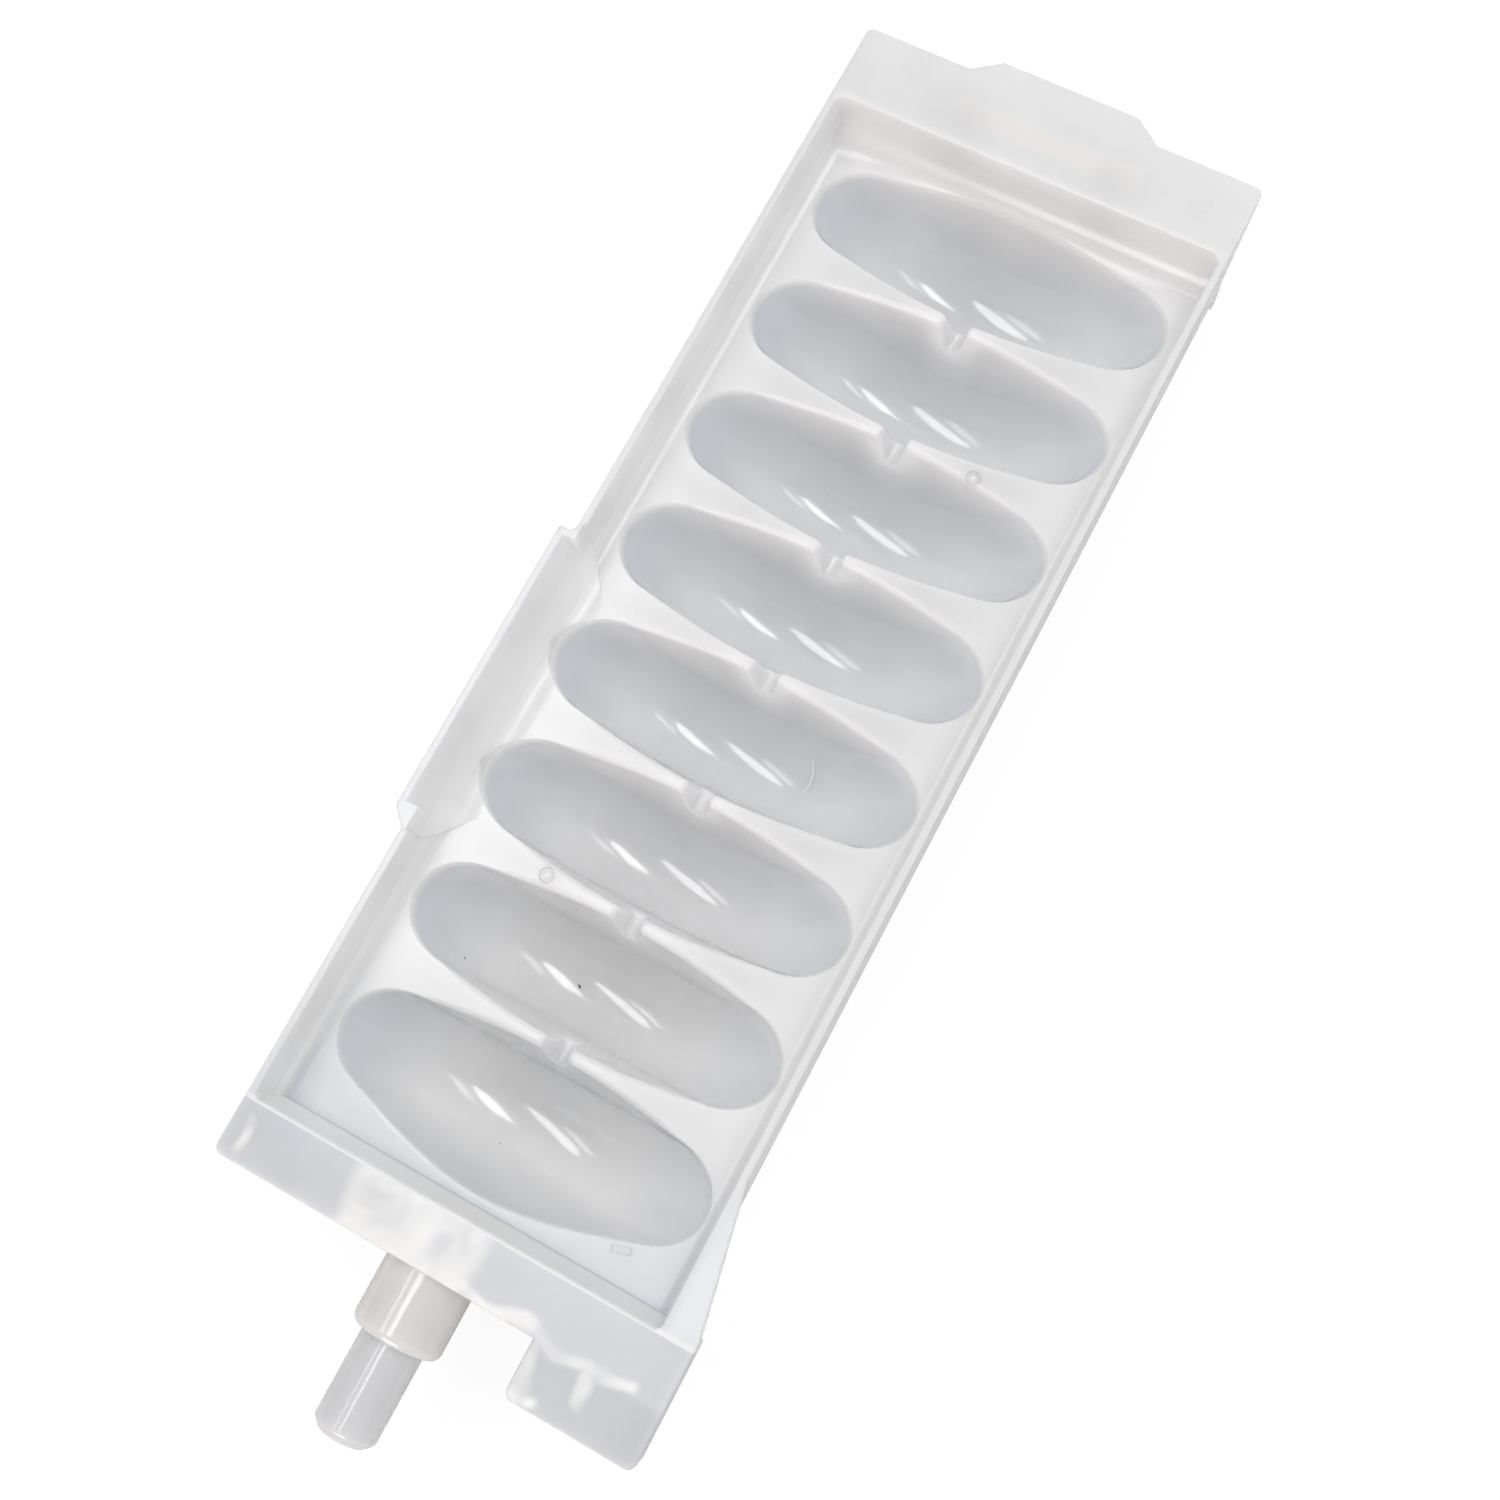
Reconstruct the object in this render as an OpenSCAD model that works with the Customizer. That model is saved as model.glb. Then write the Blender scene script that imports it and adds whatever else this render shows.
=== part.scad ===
// Ice cube tray for a refrigerator ice maker: one moulding of natural polypropylene.
// X runs along the pivot axis towards the pin, Y across the tray, Z up.
// The origin is on the pivot axis, at the shoulder where the collar steps down to the pin.

/* [Cups] */
// Number of ice cups in the row
cup_count = 8; // [3:1:10]
// Distance from one cup to the next, along the tray
cup_pitch = 25; // [24.6:0.2:32]
// Length of a cup across the tray, at the deck
cup_len = 71.8; // [56:0.2:73]
// Width of a cup in its middle, at the deck
cup_w = 23.1; // [20.6:0.1:23.4]
// Depth of a cup in its middle, below the deck
cup_depth = 22; // [18:0.5:26]
// Radius of the rounded floor along a cup
floor_r = 9; // [7:0.1:9.6]
// Wall thickness of the cups
cup_wall = 1.6; // [1.2:0.1:2]
// Extra width of the last cup on its pin side
end_cup_extra = 3.4; // [0:0.1:3.6]

/* [Weirs] */
// Width of the notch that lets water run between two cups, at the deck
weir_w = 5.4; // [4.4:0.1:9]
// Depth of that notch below the deck
weir_depth = 7.8; // [5:0.1:10]
// Radius of the notch's rounded floor
weir_floor_r = 1.3; // [0.8:0.1:2]
// Thickness of the web that bridges the cups around the notch
weir_web = 3.2; // [1.6:0.1:4]

/* [Basin] */
// Width of the tray over its side walls
body_w = 79.5; // [78.5:0.5:90]
// Height of the rim above the deck
rim_h = 11.2; // [10:0.1:16]
// Thickness of the side walls
side_wall = 1.4; // [1.2:0.1:2]
// Thickness of the deck between the cups
deck_t = 1.8; // [1.4:0.1:2.4]
// Radius of the cove between the deck and the walls
cove_r = 2.8; // [1:0.1:3.4]
// Radius of the softer cove at the foot of the drive end wall
drive_cove_r = 6; // [3.4:0.1:7]
// Radius of the upright inner corners of the basin
corner_r = 2; // [1:0.1:4]
// Clear deck between the first cup's middle and the drive end wall
drive_margin = 14.6; // [14:0.1:20]
// Clear deck between the last cup's middle and the pin end wall
pin_margin = 16.3; // [16:0.1:22]
// Thickness of the two end walls
end_wall = 2; // [1.6:0.1:3]
// How far the pin end wall leans out over its height
pin_wall_lean = 1.6; // [0:0.1:3]

/* [Fill ear] */
// Where the fill ear starts, from the first cup's middle
ear_start = 83; // [60:0.5:90]
// Length of the fill ear along the rim
ear_len = 56.6; // [50:0.2:60]
// How far the ear reaches beyond the side wall
ear_reach = 3; // [2:0.1:5]
// Lean of the ear's wall from upright, in degrees
ear_lean = 18; // [12:1:24]
// Length of its sloped end at the rim
ear_slant = 3.2; // [2:0.1:4]
// Radius of the cove under the ear
ear_cove_r = 7.9; // [6:0.1:8.4]
// Radius of the two round marks on the ear
mark_r = 7; // [5:0.1:9]
// Depth of those marks
mark_depth = 0.4; // [0.2:0.1:0.6]

/* [Drive end] */
// Width of the flange over the drive hub, along the tray
drive_flange = 15.1; // [14.6:0.1:18]
// How far the cover over the hub disc reaches beyond the flange
cover_reach = 3.8; // [1:0.1:5]
// Width of that cover at its outer edge
cover_w = 27.2; // [20:0.2:32]
// Width of that cover where it leaves the flange
cover_base_w = 37.8; // [34:0.2:44]
// Thickness of both flanges
flange_t = 2; // [1.6:0.1:2.6]
// Diameter of the hub's stem
stem_d = 28; // [20:0.5:30]
// Diameter of the hub's disc
disc_d = 40; // [32:0.5:42]
// Thickness of that disc
disc_t = 6; // [4:0.1:6.4]
// Distance from the drive end wall's inner face to the disc
disc_gap = 7.5; // [6:0.1:7.5]
// Diameter of the D-shaped drive socket
socket_d = 14; // [12:0.1:15]
// Depth of the socket
socket_depth = 11; // [6:0.1:11]
// Distance from the socket's axis to its flat
socket_flat = 5.2; // [4:0.1:6]
// Depth of the drive end wall below the deck
drive_skirt = 8; // [5:0.1:12]

/* [Pin end] */
// Width of the flange over the collar, along the tray
pin_flange = 10.4; // [8:0.1:14]
// Height of the pivot axis above the deck
axis_h = 1.2; // [0:0.1:2]
// Diameter of the pivot pin
pin_d = 11.2; // [8:0.1:13]
// Length of the pivot pin from its shoulder
pin_len = 17; // [12:0.1:24]
// Chamfer at the tip of the pin
pin_chamfer = 1.5; // [0.5:0.1:2]
// Diameter of the collar behind the pin
collar_d = 16; // [14:0.1:16]
// How far the collar shows beyond the flange
collar_out = 12.7; // [8:0.1:18]
// Radius of the collar's outer edge
collar_edge = 1.6; // [0.4:0.1:1.6]
// Wall left around the hollow under the collar
collar_wall = 2.6; // [2:0.1:3.4]
// Depth of the pin end wall below the deck
pin_skirt = 9; // [8.5:0.1:12]

/* [Stop tab] */
// Where the stop tab starts, across the tray from the pivot axis
tab_from = 21.4; // [18:0.1:26]
// Where the stop tab ends
tab_to = 44.8; // [42:0.1:50]
// How far the tab reaches beyond the flange
tab_reach = 9.9; // [6:0.1:14]
// Length along the rim over which the tray flares out to the tab
flare_len = 25; // [16:0.5:34]
// Depth of the lips under the flange and the tab
lip_h = 4.6; // [3:0.1:6]
// Thickness of those lips
lip_t = 2.2; // [1.4:0.1:2.6]
// Length of the rib under the middle of the tab
tab_rib_len = 6.5; // [3:0.1:8]
// Corner radius of the flanges and the tab
edge_r = 1.5; // [0.5:0.1:2]

/* [Hidden] */
$fn = 64;
plastic = "#e4e7ea";
over = 0.5;
// The row, measured from the first cup's middle
row_len = (cup_count - 1) * cup_pitch;
half_w = body_w / 2;
inner_w = half_w - side_wall;
drive_in = -drive_margin;
drive_out = drive_in - end_wall;
drive_edge = drive_in - drive_flange;
pin_in = row_len + pin_margin;
pin_top = pin_in + pin_wall_lean;
pin_out = pin_top + end_wall;
pin_edge = pin_top + pin_flange;
tab_edge = pin_edge + tab_reach;
shoulder_x = pin_edge + collar_out;
flange_z = rim_h - flange_t;
// A cup is a drafted groove turned about a level axis high above the deck
groove_r = (cup_len * cup_len / 4 + cup_depth * cup_depth) / (2 * cup_depth);
turn_h = groove_r - cup_depth;
floor_c = groove_r - floor_r;
rise = 1.5;
hair = 0.02;
// The ear's wall, from its top edge down to the cove
ear_top = half_w + ear_reach - side_wall / cos(ear_lean);
ear_foot = ear_top - rim_h * tan(ear_lean) - ear_cove_r * tan(45 - ear_lean / 2);
ear_stop = ear_start + ear_len;
// Radius of the upright corners inside the ear
ear_corner_r = 1.2;
// The apron below the ear starts and stops inside the ear's ends, and widens towards the deck
apron_lead = 7;
apron_tail = 6;
apron_slant = 9;
apron_x0 = ear_start + apron_lead;
apron_x1 = ear_stop - apron_tail;
// The wall under the ear is thinner than the deck from a little beyond the cove's foot
thin_step = 1.5;
thin_from = ear_foot + thin_step;
// The cup that is level with the first round mark, counted from nought
mark_cup = 4;
// Thickness of the ribs, and how far those on the hub stay inside the disc's edge
rib_t = 2;
rib_step = 3;
// Width of the saddle that joins the collar to the flange above it
saddle_w = 10;

// Draft of a side that starts w from the middle at the deck and meets a round floor tangentially
function draft(w, deep, r) = let (d = r - deep) atan2(d, w) + acos(r / norm([w, d]));

// Draft of a cup's side that starts w from the middle
function cup_draft(w) = draft(w, cup_depth, floor_r);

// Point where a groove side, moved out by grow, meets the floor
function foot(w, grow) =
    let (a = cup_draft(w)) [floor_c + (floor_r + grow) * sin(a), (floor_r + grow) * cos(a)];

// Half width of a groove side at the distance r from the turning axis
function half_at(w, grow, r) = foot(w, grow)[1] + (foot(w, grow)[0] - r) * tan(cup_draft(w));

// Section of a groove: the distance from the turning axis against the width along the tray.
// Its sides run a hair inside the floor's circle, so that they cross it cleanly.
module groove_section(w_drive, w_pin, grow) {
    top = turn_h - rise;
    drive_foot = foot(w_drive, grow);
    pin_foot = foot(w_pin, grow);
    translate([floor_c, 0]) circle(floor_r + grow, $fn = 96);
    polygon([
        [top, hair - half_at(w_drive, grow, top)],
        [drive_foot[0], hair - drive_foot[1]],
        [pin_foot[0], pin_foot[1] - hair],
        [top, half_at(w_pin, grow, top) - hair]
    ]);
}

// A turned groove below the height top, over the cup whose middle is at the origin
module groove(w_drive, w_pin, grow, top) {
    intersection() {
        translate([0, 0, turn_h]) rotate([0, 90, 0]) rotate([0, 0, 180])
            rotate_extrude($fn = 192) groove_section(w_drive, w_pin, grow);
        translate([-cup_pitch, -cup_len, -cup_depth - 2 * cup_wall])
            cube([2 * cup_pitch, 2 * cup_len, cup_depth + 2 * cup_wall + top]);
    }
}

// Every cup of the row in its place, with the last one wider on its pin side
module cups(grow, top) {
    for (i = [0 : cup_count - 1])
        translate([i * cup_pitch, 0, 0])
            groove(cup_w / 2, cup_w / 2 + (i == cup_count - 1 ? end_cup_extra : 0), grow, top);
}

// Rectangle from a to b whose lower corners are round, each with its own radius
module round_foot(a, b, h, ra, rb) {
    translate([a, ra]) square([b - a - rb, h - ra]);
    translate([a + ra, rb]) square([b - a - ra, h - rb]);
    translate([a + ra, 0]) square([b - a - ra - rb, h]);
    translate([a + ra, ra]) circle(ra);
    translate([b - rb, rb]) circle(rb);
}

// Rectangle with four round corners
module round_plate(x0, x1, y0, y1, r) {
    translate([x0 + r, y0]) square([x1 - x0 - 2 * r, y1 - y0]);
    translate([x0, y0 + r]) square([x1 - x0, y1 - y0 - 2 * r]);
    for (x = [x0 + r, x1 - r], y = [y0 + r, y1 - r]) translate([x, y]) circle(r);
}

// Turns a section drawn across and up so that it runs along the tray from x0 to x1
module along(x0, x1) {
    translate([x0, 0, 0]) rotate([90, 0, 90]) linear_extrude(x1 - x0) children();
}

// Turns a section drawn along and up so that it runs across the tray from -w to w
module across(w) {
    translate([0, w, 0]) rotate([90, 0, 0]) linear_extrude(2 * w) children();
}

// The open space above the deck: coved at its foot and round in its corners
module basin_space() {
    high = rim_h + over;
    intersection() {
        along(drive_in, pin_top + over) round_foot(-inner_w, inner_w, high, cove_r, cove_r);
        across(inner_w) {
            round_foot(drive_in, pin_in, high, drive_cove_r, cove_r);
            polygon([[pin_in - cove_r, 0], [pin_in, 0],
                [pin_in + pin_wall_lean * high / rim_h, high], [pin_in - cove_r, high]]);
        }
        linear_extrude(high) round_plate(drive_in, pin_top + over, -inner_w, inner_w, corner_r);
    }
}

// Half section of the ear's hollow or, with grow, of its outer face, measured out from the cove's foot
module ear_section(grow) {
    high = rim_h + over;
    n = [cos(ear_lean), -sin(ear_lean)];
    t = [0, ear_cove_r] + (ear_cove_r + grow) * n;
    intersection() {
        union() {
            translate([0, ear_cove_r]) circle(ear_cove_r + grow);
            polygon([[0, ear_cove_r], t, [t[0] + (high - t[1]) * tan(ear_lean), high], [0, high]]);
        }
        translate([0, -grow]) square([ear_top + 2 * ear_reach, high + grow]);
    }
}

// The same section on the ear's side of the tray, run along the rim
module ear_along(x0, x1, grow) {
    along(x0, x1) mirror([1, 0]) translate([ear_foot, 0]) ear_section(grow);
}

// Outline of the apron between the ear's cove and the deck
module apron_outline() {
    polygon([
        [apron_x0, -ear_foot], [apron_x0 - apron_slant, -inner_w - over],
        [apron_x1 + apron_slant, -inner_w - over], [apron_x1, -ear_foot]
    ]);
}

// Everything that is open above the deck
module open_space() {
    difference() {
        basin_space();
        translate([0, 0, -over]) linear_extrude(rim_h + 3 * over) apron_outline();
    }
    intersection() {
        ear_along(apron_x0 - 2 * apron_slant, apron_x1 + 2 * apron_slant, 0);
        linear_extrude(rim_h + over) {
            apron_outline();
            round_plate(ear_start + side_wall, ear_stop - side_wall,
                -half_w - 2 * ear_reach, -ear_foot, ear_corner_r);
        }
    }
}

// The ear's outer body beyond the side wall, with one square end and one sloped end
module ear_body() {
    edge = half_w + ear_reach;
    intersection() {
        ear_along(ear_start - 2 * ear_slant, ear_stop + 2 * ear_slant, side_wall);
        linear_extrude(rim_h) {
            polygon([
                [ear_start, -inner_w], [ear_start, -edge], [ear_stop, -edge],
                [ear_stop + ear_slant, -half_w], [ear_stop + ear_slant, -inner_w]
            ]);
            difference() {
                translate([ear_start - ear_reach / 2, -half_w - ear_reach / 2])
                    square([ear_reach, ear_reach]);
                translate([ear_start - ear_reach / 2, -half_w - ear_reach / 2]) circle(ear_reach / 2);
            }
        }
    }
}

// Two shallow round marks in the ear's wall, each level with a cup
module ear_marks() {
    intersection() {
        ear_along(ear_start + side_wall, ear_stop - side_wall, mark_depth);
        union() for (i = [mark_cup, mark_cup + 1])
            translate([i * cup_pitch, -half_w - ear_reach - mark_r / 2, 0]) cylinder(rim_h + over, r = mark_r);
    }
}

// Side walls, end walls and deck as one block, thinned below the ear's cove
module basin_block() {
    difference() {
        translate([drive_out, -half_w, -deck_t]) cube([pin_out - drive_out, body_w, rim_h + deck_t]);
        difference() {
            translate([apron_x0, -half_w - over, -deck_t - over])
                cube([apron_x1 - apron_x0, half_w + over - thin_from, rim_h]);
            ear_along(apron_x0 - over, apron_x1 + over, side_wall);
        }
    }
}

// Section of a weir: drafted sides down to a round floor or, with grow, the web around them
module weir_section(grow, top) {
    a = draft(weir_w / 2, weir_depth, weir_floor_r);
    r = weir_floor_r + grow;
    low = weir_floor_r - weir_depth;
    side = [r * cos(a), low - r * sin(a)];
    wide = side[0] + (top - side[1]) * tan(a);
    translate([0, low]) circle(r);
    polygon([[hair - wide, top], [hair - side[0], side[1]], [side[0] - hair, side[1]], [wide - hair, top]]);
}

// Webs between neighbouring cups, under the weirs
module weir_bridges() {
    for (i = [0 : cup_count - 2])
        along(i * cup_pitch, (i + 1) * cup_pitch) weir_section(weir_web, 0);
}

// Notches through the walls between neighbouring cups
module weirs() {
    for (i = [0 : cup_count - 2])
        along((i + 0.5) * cup_pitch - cup_pitch / 4, (i + 0.5) * cup_pitch + cup_pitch / 4)
            weir_section(0, over);
}

// Flange over the drive hub, with the sloped cover that reaches over the hub's disc
module drive_flange_plate() {
    translate([0, 0, flange_z]) linear_extrude(flange_t) {
        round_plate(drive_edge, drive_in, -half_w, half_w, edge_r);
        translate([drive_in - end_wall, -half_w]) square([end_wall, body_w]);
        polygon([
            [drive_edge + over, -cover_base_w / 2], [drive_edge, -cover_base_w / 2],
            [drive_edge - cover_reach, -cover_w / 2], [drive_edge - cover_reach, cover_w / 2],
            [drive_edge, cover_base_w / 2], [drive_edge + over, cover_base_w / 2]
        ]);
    }
}

// Gussets that carry the drive flange on the end wall, level with the side walls
module drive_gussets() {
    for (y = [-half_w, half_w - side_wall])
        translate([0, y + side_wall, 0]) rotate([90, 0, 0]) linear_extrude(side_wall)
            polygon([[drive_out, 0], [drive_out, flange_z], [drive_edge + edge_r, flange_z]]);
}

// Drive hub below the flange: end wall, stem, ribs and disc on the pivot axis
module drive_hub() {
    disc_x = drive_in - disc_gap - disc_t;
    rib_w = disc_d - 2 * rib_step;
    intersection() {
        union() {
            translate([disc_x, 0, axis_h]) rotate([0, 90, 0]) cylinder(disc_t, d = disc_d, $fn = 128);
            translate([disc_x, 0, axis_h]) rotate([0, 90, 0]) cylinder(drive_out - disc_x, d = stem_d, $fn = 96);
            translate([disc_x, -rib_w / 2, axis_h - rib_t / 2]) cube([drive_out - disc_x, rib_w, rib_t]);
            translate([disc_x, -rib_t / 2, axis_h - rib_w / 2]) cube([drive_out - disc_x, rib_t, rib_w / 2]);
            along(drive_out, drive_in) {
                translate([0, axis_h]) circle(disc_d / 2 - rib_step / 2, $fn = 128);
                translate([-half_w, -drive_skirt]) square([body_w, drive_skirt]);
            }
        }
        translate([disc_x, -half_w, axis_h - disc_d]) cube([drive_in - disc_x, body_w, disc_d + flange_z - axis_h]);
    }
}

// D-shaped socket for the drive shaft, open at the disc's outer face
module drive_socket() {
    disc_x = drive_in - disc_gap - disc_t;
    intersection() {
        translate([disc_x - over, 0, axis_h]) rotate([0, 90, 0])
            cylinder(socket_depth + over, d = socket_d, $fn = 96);
        translate([disc_x - socket_depth, -socket_d, axis_h - socket_d])
            cube([2 * socket_depth + over, 2 * socket_d, socket_d + socket_flat]);
    }
}

// Flange over the collar, the flared rim beside it and the stop tab
module pin_flange_plate() {
    translate([0, 0, flange_z]) linear_extrude(flange_t) {
        round_plate(pin_out - end_wall, pin_edge, -half_w, tab_from + 2 * edge_r, edge_r);
        round_plate(pin_out - end_wall, tab_edge, tab_from, tab_to, edge_r);
        translate([pin_out - end_wall, -half_w]) square([end_wall, body_w]);
        polygon([
            [pin_in - flare_len, half_w - over], [pin_in - flare_len, half_w],
            [pin_in, tab_to], [pin_out + edge_r + over, tab_to], [pin_out + edge_r + over, half_w - over]
        ]);
    }
}

// Lips that stiffen the pin flange and the stop tab from below
module pin_lips() {
    low = flange_z - lip_h;
    translate([pin_edge - lip_t, -half_w + edge_r, low]) cube([lip_t, tab_to - edge_r + half_w - edge_r, lip_h]);
    translate([pin_out - end_wall, -half_w, low])
        cube([pin_edge - edge_r - pin_out + end_wall, side_wall, lip_h]);
    translate([pin_edge - lip_t, tab_from, low]) cube([tab_edge - edge_r - pin_edge + lip_t, lip_t, lip_h]);
    translate([pin_in, tab_to - side_wall, low])
        cube([tab_edge - edge_r - pin_in, side_wall, lip_h]);
    translate([pin_edge - lip_t, (tab_from + tab_to - rib_t) / 2, low]) cube([tab_rib_len + lip_t, rib_t, lip_h]);
}

// Pin end wall below the deck, narrowing towards the collar
module pin_wall() {
    along(pin_out - end_wall, pin_out)
        polygon([[-half_w, flange_z], [-half_w, -deck_t], [-collar_d, -pin_skirt],
            [collar_d, -pin_skirt], [half_w, -deck_t], [half_w, flange_z]]);
}

// Collar and pivot pin, turned as one about the pivot axis
module pivot_pin() {
    start = pin_out - end_wall;
    collar_r = collar_d / 2;
    translate([start, -saddle_w / 2, axis_h]) cube([pin_edge - start, saddle_w, flange_z - axis_h]);
    translate([start, 0, axis_h]) rotate([0, 90, 0]) {
        rotate_extrude($fn = 96) {
            square([collar_r, shoulder_x - start - collar_edge]);
            square([collar_r - collar_edge, shoulder_x - start]);
            translate([collar_r - collar_edge, shoulder_x - start - collar_edge]) circle(collar_edge);
        }
        cylinder(shoulder_x - start + pin_len - pin_chamfer, d = pin_d, $fn = 96);
        translate([0, 0, shoulder_x - start + pin_len - pin_chamfer])
            cylinder(pin_chamfer, pin_d / 2, pin_d / 2 - pin_chamfer, $fn = 96);
    }
}

// Hollow in the collar, open downwards, that leaves an even wall
module collar_hollow() {
    r = collar_d / 2 - collar_wall;
    long = shoulder_x - pin_out - collar_wall;
    translate([pin_out, 0, axis_h]) {
        rotate([0, 90, 0]) cylinder(long, r = r, $fn = 64);
        translate([0, -r, -collar_d]) cube([long, 2 * r, collar_d]);
    }
}

// The whole moulding, in its own frame
module ice_tray() {
    color(plastic) translate([-shoulder_x, 0, -axis_h]) difference() {
        union() {
            basin_block();
            ear_body();
            cups(cup_wall, 0);
            weir_bridges();
            drive_flange_plate();
            drive_gussets();
            drive_hub();
            pin_flange_plate();
            pin_lips();
            pin_wall();
            pivot_pin();
        }
        open_space();
        ear_marks();
        cups(0, rise);
        weirs();
        drive_socket();
        collar_hollow();
    }
}

ice_tray();
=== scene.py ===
"""Dresses the moulded ice cube tray and sets the stage for it."""

import math

import bmesh
import bpy
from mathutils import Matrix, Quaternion, Vector


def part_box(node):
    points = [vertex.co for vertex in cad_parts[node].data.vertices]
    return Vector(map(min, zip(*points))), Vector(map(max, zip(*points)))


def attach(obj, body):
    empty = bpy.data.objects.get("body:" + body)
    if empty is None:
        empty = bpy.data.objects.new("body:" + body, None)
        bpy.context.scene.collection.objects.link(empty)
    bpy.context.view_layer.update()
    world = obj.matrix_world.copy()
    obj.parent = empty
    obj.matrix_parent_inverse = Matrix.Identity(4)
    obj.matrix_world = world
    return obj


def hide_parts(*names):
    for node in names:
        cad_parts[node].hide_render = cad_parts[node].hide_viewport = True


bl_info = {
    "name": "Ice cube tray",
    "version": (1, 0, 0),
    "blender": (4, 5, 0),
    "location": "View3D > Sidebar > Ice tray",
    "description": "Gives the moulded ice cube tray its finish, its small marks and its studio",
    "category": "Object",
}

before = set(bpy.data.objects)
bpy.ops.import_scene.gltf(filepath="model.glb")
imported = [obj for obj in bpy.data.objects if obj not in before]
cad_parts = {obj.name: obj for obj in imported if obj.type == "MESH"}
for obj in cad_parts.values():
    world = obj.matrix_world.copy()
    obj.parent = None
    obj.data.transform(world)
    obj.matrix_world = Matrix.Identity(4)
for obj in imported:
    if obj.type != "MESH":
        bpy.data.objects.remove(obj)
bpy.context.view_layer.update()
TRAY_LOW, TRAY_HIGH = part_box("ice_tray")
MM = 0.001
BODY = "root"

# Where the deck (mm), the cups and the basin lie, in the tray's own frame
DECK = -1.2
FIRST_CUP, CUP_PITCH = -216.0 * MM, 25.0 * MM
BASIN_ENDS, BASIN_HALF_WIDTH = (-231.0 * MM, -24.5 * MM), 38.4 * MM
LIP_LEVELS = (-12.0 * MM, 3.0 * MM)
# Towards a cup's tips its lip gets thinner: full up to the first width off the middle, none from the second
LIP_FADE = (18.0 * MM, 27.0 * MM)
# Up to here the first cup runs into the hub wall's foot, and has no lip
FIRST_LIP = -221.0 * MM
LIP_SEGMENTS = 4
# The turn up to which neighbouring faces look like one round surface
SMOOTH_ANGLE = math.radians(35)
# Where the room beside an edge is looked for, as shares of its length, and the least squared length (m2)
ALONG_EDGE, LEAST_SQUARE = (0.1, 0.5, 0.9), 1e-18

# Where a tone starts and where it is full (mm), along X, Y or Z, beside the tray's middle line,
# or off the nearest cup's middle. The tones paint light and shade into the plastic's colour, zone by zone
SPANS = (
    ("on_hub", "X", -231.0, -232.0),
    ("past_hub_wall", "X", -226.0, -205.0),
    ("to_pin", "X", -150.0, -40.0),
    ("near_pin", "X", -60.0, -24.0),
    ("pin_wall", "X", -27.0, -25.0),
    ("on_flange", "X", -22.9, -22.4),
    ("past_flange", "X", -13.5, -11.5),
    ("on_pin", "X", -1.5, 0.5),
    ("on_tab", "Y", 12.0, 16.0),
    ("ear_side", "Y", 5.0, -5.0),
    ("below", "Z", DECK - 0.4, DECK - 2.0),
    ("above_deck", "Z", DECK + 0.2, DECK + 1.8),
    ("under_rim", "Z", 9.8, 9.2),
    ("at_rim", "Z", 8.5, 9.3),
    ("in_tip", "beside", 17.0, 31.0),
    ("on_rim", "beside", 38.2, 40.5),
    ("thick", "from_middle", 5.5, 11.5),
)
# Painted highlights, fine white lines along the pin wall's top edge and the cups' lips: middle, half width,
# soft width (mm)
WALL_HIGHLIGHT_LINE, LIP_HIGHLIGHT_LINE = (-23.1, 0.25, 0.3), (DECK - 0.22, 0.16, 0.05)
# The drive hub's disc, under the cover over it, where a paler field is painted for its light showing
# through: x, half, y, half, soft width (mm)
OVER_HUB = (-237.6, 1.2, 0.7, 17.5, 2.4)
# What shows through the flange and the tab at the pin end, painted as pale fields of light: the collar's
# root, then lips and ribs
SEEN_THROUGH = (
    (-18.0, 5.5, -4.0, 8.5, 5.0),
    (-13.5, 0.3, 17.5, 21.0, 1.5),
    (-8.0, 4.0, 22.5, 0.5, 1.5),
    (-9.6, 2.6, 33.0, 0.3, 1.5),
    (-4.6, 0.2, 23.6, 0.8, 1.5),
    (-18.0, 3.0, -36.0, 0.2, 1.5),
)
# How the tones meet: result, operation, values
MEETINGS = (
    # The cups' painted tone is full in a cup's middle and fades where two cups' walls stand back to back
    ("thin", "MULTIPLY_ADD", "thick", -0.8, 1.0),
    ("in_cup", "MULTIPLY", "below", "thin"),
    ("upright", "MULTIPLY", "above_deck", "under_rim"),
    ("upright", "MULTIPLY", "upright", "past_hub_wall"),
    # Painted highlights along the pin wall's top edge and the cups' lips, stronger towards the pin
    ("wall_edge", "MULTIPLY", "wall_line", "at_rim"),
    ("lip_strength", "MULTIPLY_ADD", "to_pin", 0.65, 0.35),
    ("lip", "MULTIPLY", "lip_line", "lip_strength"),
    ("fine_edge", "MAXIMUM", "lip", "wall_edge"),
    # Where the painted pale fields of what shows through lie
    ("seen", "MULTIPLY", "pale", "mottled"),
    ("pin_end", "SUBTRACT", "past_flange", "on_tab"),
    ("polished", "MAXIMUM", "below", "pin_end"),
)
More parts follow.
